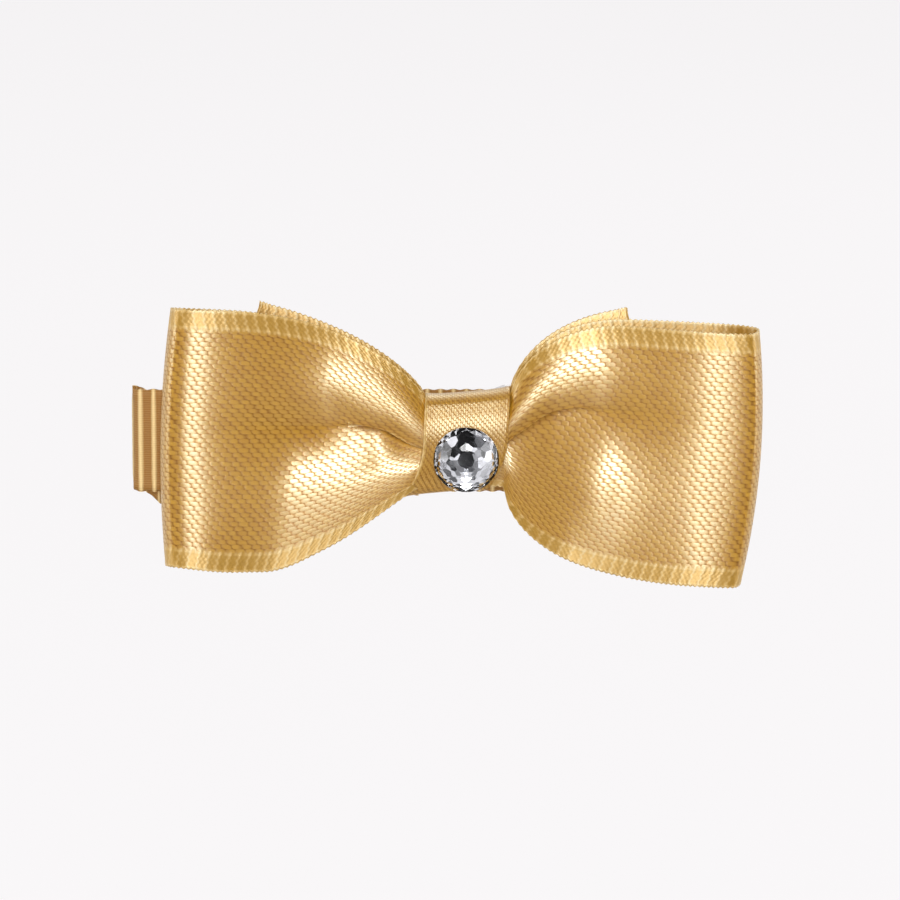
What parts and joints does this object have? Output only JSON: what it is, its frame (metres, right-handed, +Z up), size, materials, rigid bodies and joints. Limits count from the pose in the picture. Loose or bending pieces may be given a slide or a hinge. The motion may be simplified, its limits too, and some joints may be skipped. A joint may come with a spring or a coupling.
{
  "type": "bow hair clip",
  "caption": "Satin ribbon bow with a round rhinestone at its knot, on a ribbon-lined sprung clip whose lever opens a toothed jaw.",
  "frame": {"origin": "the hair grip: on the lined face of the fixed jaw, halfway along the jaw and on its centre line", "axes": "+X along the clip from the jaw tip to the lever, -Y out of the front of the bow, +Z up as in the picture"},
  "size_m": [0.06, 0.0228, 0.0276],
  "materials": {
    "blade_steel": "bright nickel plate",
    "lever_steel": "bright nickel plate",
    "pin_steel": "nickel plate, slightly dull",
    "spring_wire": "drawn spring wire",
    "grosgrain": "ribbed gold grosgrain",
    "satin": "gold satin with woven edges",
    "satin_wrap": "gold satin",
    "thread": "twisted sewing thread",
    "hot_melt": "cloudy hot-melt glue",
    "cut_glass": "clear, polished facets",
    "foil": "silvered back",
    "clear_glue": "clear set glue"
  },
  "bodies": {
    "fixed_jaw": {"upper_jaw": "blade_steel", "jaw_lining": "grosgrain", "hinge_pin": "pin_steel", "torsion_spring": "spring_wire", "bow_ribbon": "satin", "knot_wrap": "satin_wrap", "waist_thread": "thread", "bow_glue_pad": "hot_melt", "rhinestone": "cut_glass", "rhinestone_foil": "foil", "rhinestone_glue": "clear_glue"},
    "lever": {"lower_jaw": "lever_steel"}
  },
  "joints": [
    {"name": "jaw_hinge", "type": "hinge", "parent": "fixed_jaw", "child": "lever", "pos_m": [0.015, 0.0022, 0], "axis": [0, 0, -1], "range_deg": [0, 26], "stiffness_Nm_per_rad": 0.06, "springref_deg": -85.94, "deforming": ["torsion_spring"]}
  ]
}
